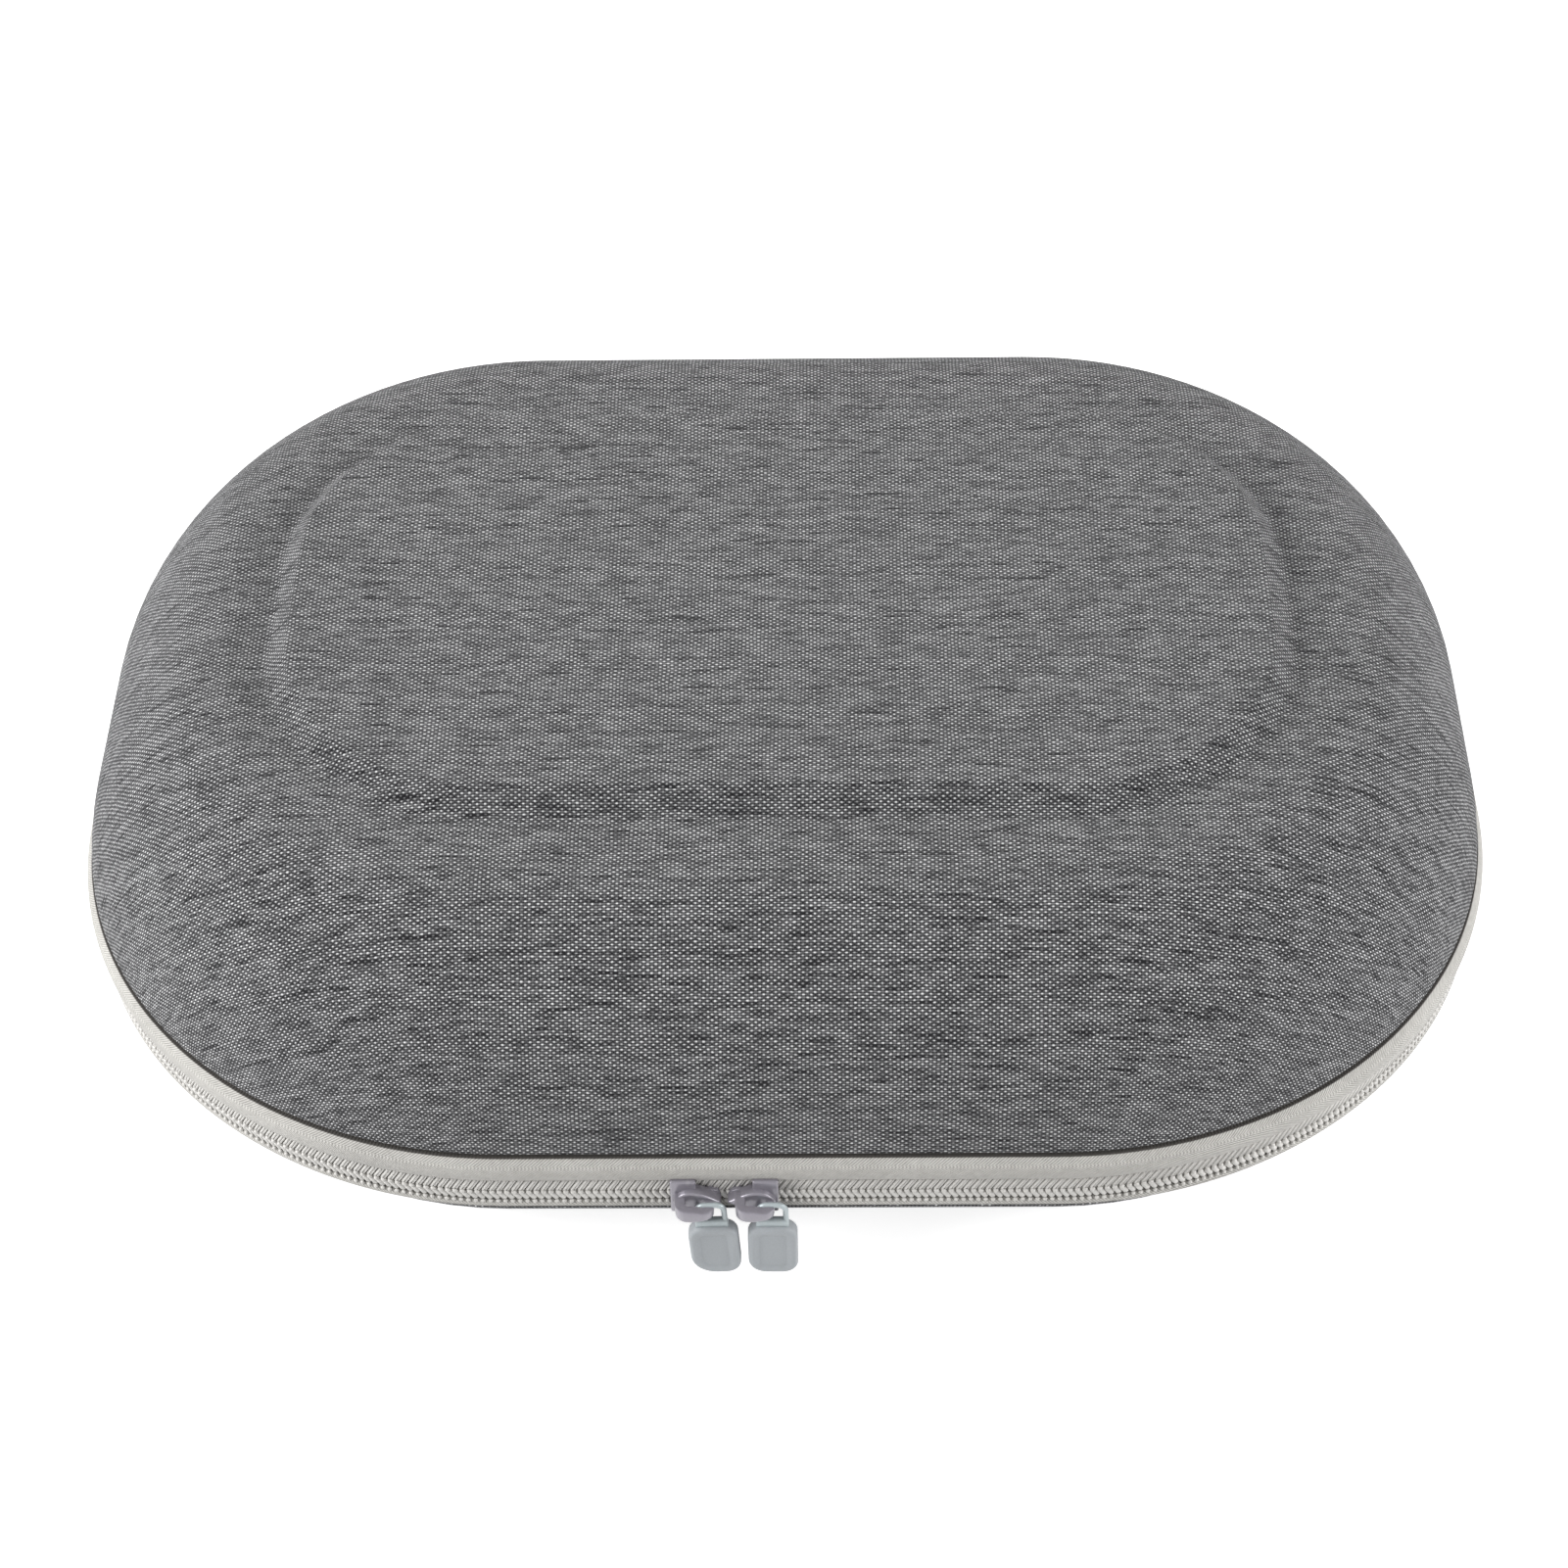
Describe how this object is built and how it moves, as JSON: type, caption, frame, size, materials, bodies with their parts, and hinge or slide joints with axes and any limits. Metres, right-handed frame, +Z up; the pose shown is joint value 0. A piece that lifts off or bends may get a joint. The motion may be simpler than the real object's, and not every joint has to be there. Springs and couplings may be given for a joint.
{
  "type": "headphone carrying case",
  "caption": "Hard-shell zip-around carrying case for headphones: heathered fabric over moulded foam, hinged lid with mesh pocket, padded divider, sliders with rubber pulls.",
  "frame": {"origin": "centre of the flat underside of the base, the face it rests on", "axes": "+Z up, +Y towards the hinge, -Y towards the zip sliders, +X to the right seen from the sliders"},
  "size_m": [0.2628, 0.2003, 0.0794],
  "materials": {
    "outer_fabric": "heathered mid-grey plain-weave polyester",
    "eva_foam": "moulded closed-cell EVA foam, charcoal",
    "lining": "short-pile charcoal knit lining",
    "zip_tape": "beige-grey herringbone polyester tape",
    "zip_coil": "beige-grey nylon coil with thread rows",
    "binding": "ribbed charcoal ribbon",
    "hinge_fabric": "folded strip of the outer fabric, stitched",
    "zip_stop": "crimped metal stop, grey lacquer",
    "divider_fabric": "charcoal knit over foam",
    "hook_tape": "moulded hook tape",
    "mesh": "open knitted mesh",
    "elastic": "ribbed elastic hem",
    "slider_metal": "warm grey satin lacquer on zinc",
    "pull_link": "pale blue-grey moulded link",
    "pull_rubber": "smooth blue-grey rubber"
  },
  "bodies": {
    "base": {"base_cover": "outer_fabric", "base_shell": "eva_foam", "base_lining": "lining", "base_zip_tape": "zip_tape", "base_zip_coil": "zip_coil", "base_binding": "binding", "hinge_strip_base": "hinge_fabric", "zip_stop_left": "zip_stop", "zip_stop_right": "zip_stop", "divider_pad": "divider_fabric", "divider_hook_strips": "hook_tape"},
    "lid": {"lid_cover": "outer_fabric", "lid_shell": "eva_foam", "lid_lining": "lining", "lid_zip_tape": "zip_tape", "lid_zip_coil": "zip_coil", "lid_binding": "binding", "hinge_strip_lid": "hinge_fabric", "mesh_pocket": "mesh", "pocket_elastic": "elastic", "pocket_binding": "binding"},
    "left_slider": {"left_slider_body": "slider_metal"},
    "left_pull": {"left_pull_link": "pull_link", "left_pull_grip": "pull_rubber"},
    "right_slider": {"right_slider_body": "slider_metal"},
    "right_pull": {"right_pull_link": "pull_link", "right_pull_grip": "pull_rubber"}
  },
  "joints": [
    {"name": "lid_hinge", "type": "hinge", "parent": "base", "child": "lid", "pos_m": [0, 0.0971, 0.02584], "axis": [-1, 0, 0], "range_deg": [0, 140]},
    {"name": "left_slider_travel", "type": "slide", "parent": "base", "child": "left_slider", "axis": [-1, 0, 0], "range_m": [0, 0.028]},
    {"name": "right_slider_travel", "type": "slide", "parent": "base", "child": "right_slider", "axis": [1, 0, 0], "range_m": [0, 0.047]},
    {"name": "left_pull_swing", "type": "hinge", "parent": "left_slider", "child": "left_pull", "pos_m": [-0.01205, -0.10006, 0.02729], "axis": [-0.9976, 0, -0.0698], "range_deg": [0, 25]},
    {"name": "right_pull_swing", "type": "hinge", "parent": "right_slider", "child": "right_pull", "pos_m": [-0.0016, -0.10006, 0.02729], "axis": [-1, 0, 0], "range_deg": [0, 25]}
  ]
}
